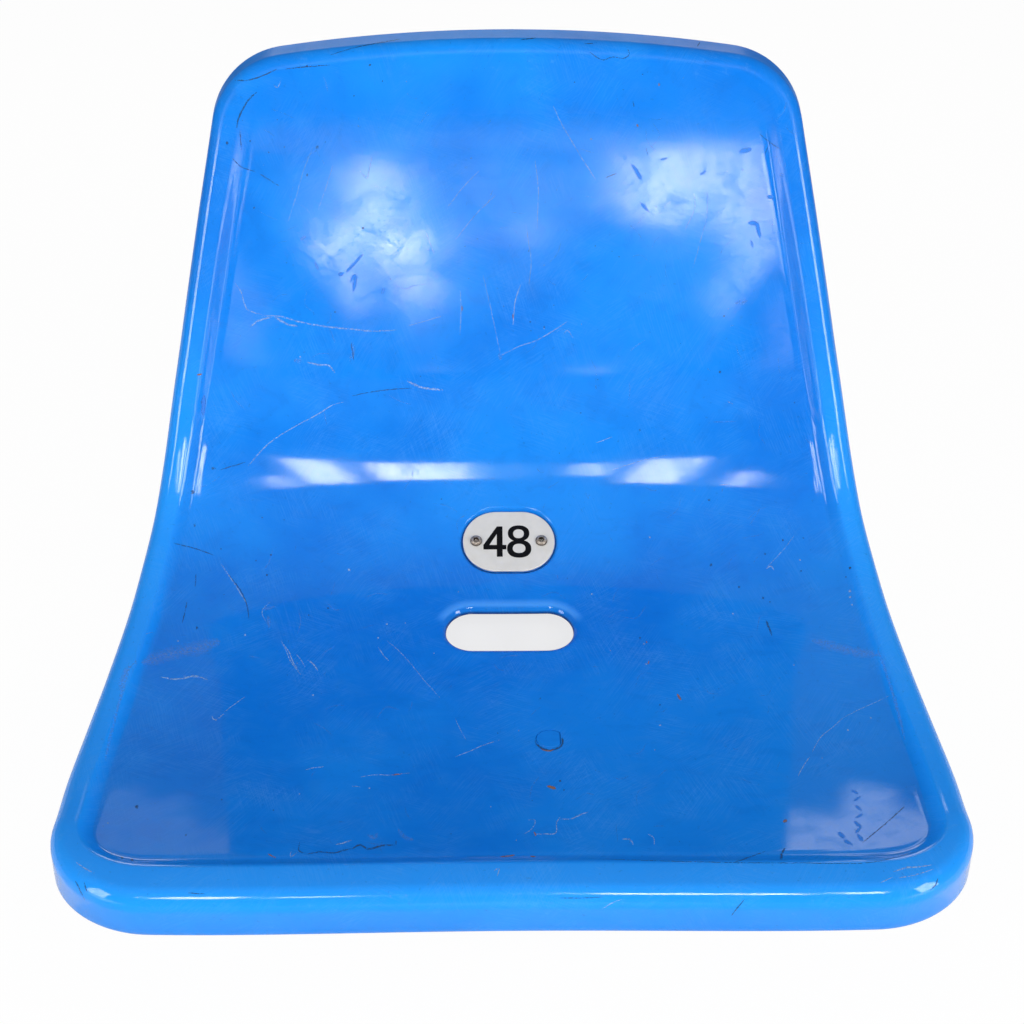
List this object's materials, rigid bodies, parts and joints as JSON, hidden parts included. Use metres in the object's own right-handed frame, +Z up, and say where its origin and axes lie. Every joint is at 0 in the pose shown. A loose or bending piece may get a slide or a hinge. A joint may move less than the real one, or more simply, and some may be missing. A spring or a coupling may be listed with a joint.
{
  "type": "stadium seat",
  "caption": "One-piece moulded bucket seat with low back, rolled rim, drain slot and riveted number plate, on steel floor brackets.",
  "frame": {"origin": "middle of the bounding box, on the floor under the bracket feet", "axes": "+X to the right across the seat as seen from the front, +Y from the front edge towards the back, +Z up"},
  "size_m": [0.437, 0.3826, 0.3078],
  "materials": {
    "shell": "semi-gloss moulded polypropylene, scuffed",
    "plate": "satin light grey paint",
    "rivet": "satin",
    "mandrel": "dull broken steel",
    "insert": "turned",
    "fastener": "zinc plated",
    "bracket": "galvanised"
  },
  "bodies": {
    "root": {"seat_shell": "shell", "number_plate": "plate", "plate_rivet_left": "rivet", "plate_rivet_right": "rivet", "rivet_mandrel_left": "mandrel", "rivet_mandrel_right": "mandrel", "pan_plug": "shell", "threaded_insert_front_left": "insert", "threaded_insert_front_right": "insert", "threaded_insert_rear_left": "insert", "threaded_insert_rear_right": "insert", "bolt_front_left": "fastener", "bolt_front_right": "fastener", "bolt_rear_left": "fastener", "bolt_rear_right": "fastener", "flat_washer_front_left": "fastener", "flat_washer_front_right": "fastener", "flat_washer_rear_left": "fastener", "flat_washer_rear_right": "fastener", "spring_washer_front_left": "fastener", "spring_washer_front_right": "fastener", "spring_washer_rear_left": "fastener", "spring_washer_rear_right": "fastener", "bracket_left": "bracket", "bracket_right": "bracket"}
  },
  "joints": []
}
